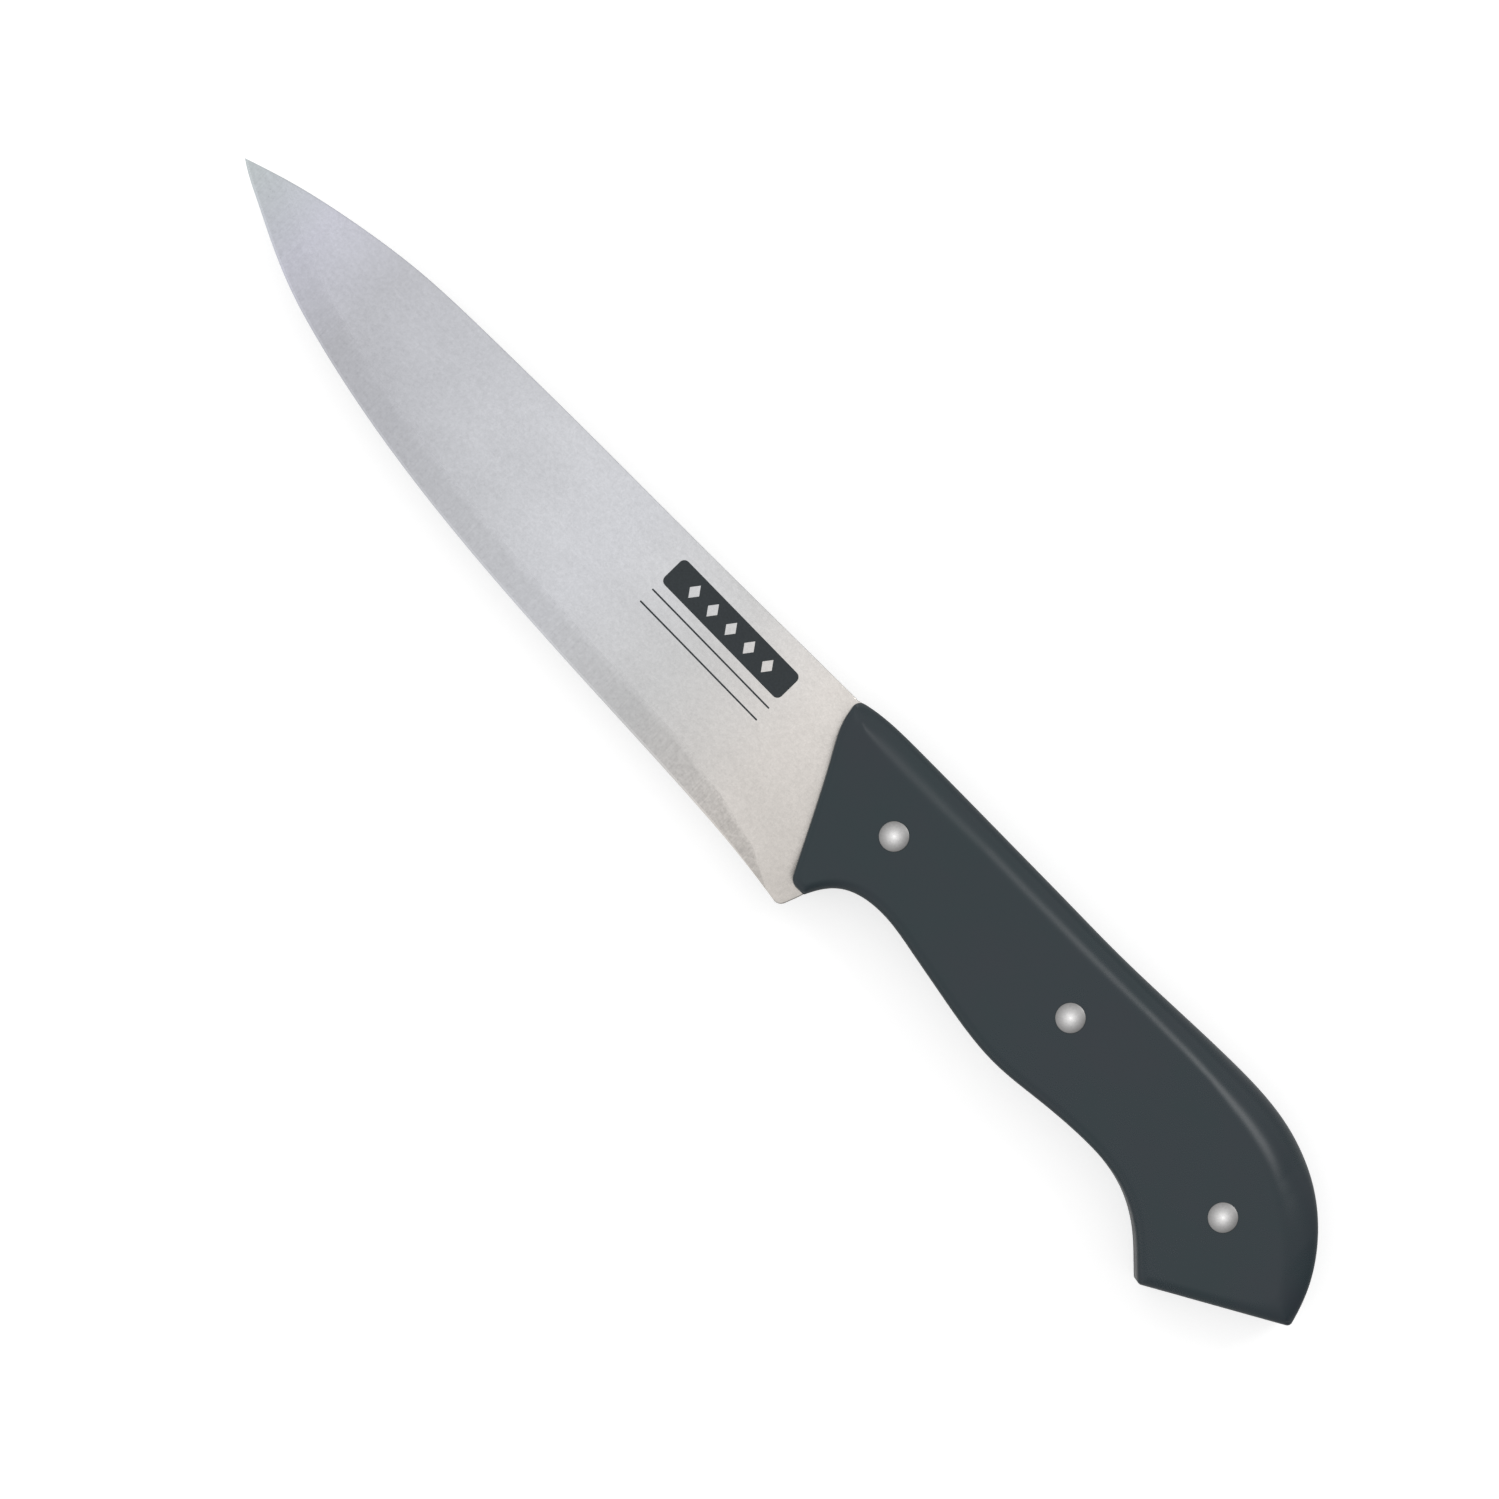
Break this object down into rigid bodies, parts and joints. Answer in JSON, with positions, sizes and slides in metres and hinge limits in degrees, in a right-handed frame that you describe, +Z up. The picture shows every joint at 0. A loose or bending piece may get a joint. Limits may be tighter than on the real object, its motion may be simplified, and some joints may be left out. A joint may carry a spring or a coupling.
{
  "type": "chef knife",
  "caption": "Chef knife: satin steel blade with a full tang between two dark riveted handle scales with a finger notch and a hooked butt.",
  "frame": {"origin": "the middle of the bounding box in X and Y, at the height of the surface that the knife lies on", "axes": "the knife lies on its right side: +X from the blade's tip to the butt, +Y from the cutting edge to the spine, +Z up out of the left side"},
  "size_m": [0.2764, 0.0396, 0.0176],
  "materials": {
    "satin_steel": "satin stainless steel, ground lengthways",
    "dark_moulding": "dark slate moulded plastic, fine texture",
    "bright_rivet": "polished stainless steel"
  },
  "bodies": {
    "root": {"blade": "satin_steel", "handle_scale_left": "dark_moulding", "handle_scale_right": "dark_moulding", "rivet_pin_1": "bright_rivet", "rivet_pin_2": "bright_rivet", "rivet_pin_3": "bright_rivet", "rivet_sleeve_1": "bright_rivet", "rivet_sleeve_2": "bright_rivet", "rivet_sleeve_3": "bright_rivet"}
  },
  "joints": []
}
